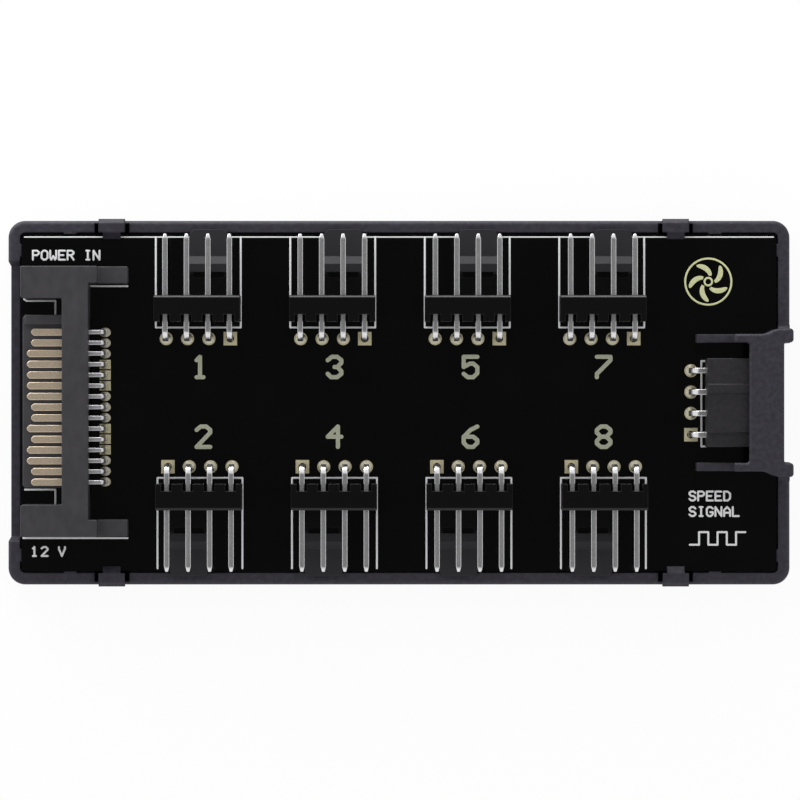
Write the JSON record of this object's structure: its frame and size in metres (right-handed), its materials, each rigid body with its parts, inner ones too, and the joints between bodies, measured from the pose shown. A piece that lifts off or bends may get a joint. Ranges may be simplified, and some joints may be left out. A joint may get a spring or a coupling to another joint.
{
  "type": "fan controller hub",
  "caption": "Low fan controller hub: a black board snapped into a moulded tray, with right-angle fan headers, a flat-contact power inlet and a hooded control header.",
  "frame": {"origin": "centre of the tray's underside", "axes": "+X along the hub from the power inlet to the control header, +Y from the even to the odd fan headers, +Z out of the board's component face"},
  "size_m": [0.093, 0.0436, 0.0126],
  "materials": {
    "tray_plastic": "fine moulded texture, matt",
    "board_mask": "black solder mask over glass laminate",
    "inlet_plastic": "smooth moulded, half matt",
    "header_plastic": "smooth moulded, half matt",
    "pin_tin": "drawn brass wire, tin plated",
    "contact_gold": "stamped brass, thin gold plate",
    "chip_plastic": "moulded chip package",
    "magnet_nickel": "nickel plate",
    "pad_gold": "gold-plated copper pads and numerals",
    "board_print": "white legend ink"
  },
  "bodies": {
    "root": {"base_tray": "tray_plastic", "circuit_board": "board_mask", "power_inlet_housing": "inlet_plastic", "power_inlet_contacts": "contact_gold", "control_header_housing": "header_plastic", "control_header_pins": "pin_tin", "signal_buffer_chip": "chip_plastic", "input_fuse": "chip_plastic", "surge_diode": "chip_plastic", "chip_capacitors": "chip_plastic", "chip_resistors": "chip_plastic", "holding_magnets": "magnet_nickel", "fan_header_1_housing": "header_plastic", "fan_header_1_pins": "pin_tin", "fan_header_2_housing": "header_plastic", "fan_header_2_pins": "pin_tin", "fan_header_3_housing": "header_plastic", "fan_header_3_pins": "pin_tin", "fan_header_4_housing": "header_plastic", "fan_header_4_pins": "pin_tin", "fan_header_5_housing": "header_plastic", "fan_header_5_pins": "pin_tin", "fan_header_6_housing": "header_plastic", "fan_header_6_pins": "pin_tin", "fan_header_7_housing": "header_plastic", "fan_header_7_pins": "pin_tin", "fan_header_8_housing": "header_plastic", "fan_header_8_pins": "pin_tin"}
  },
  "joints": []
}
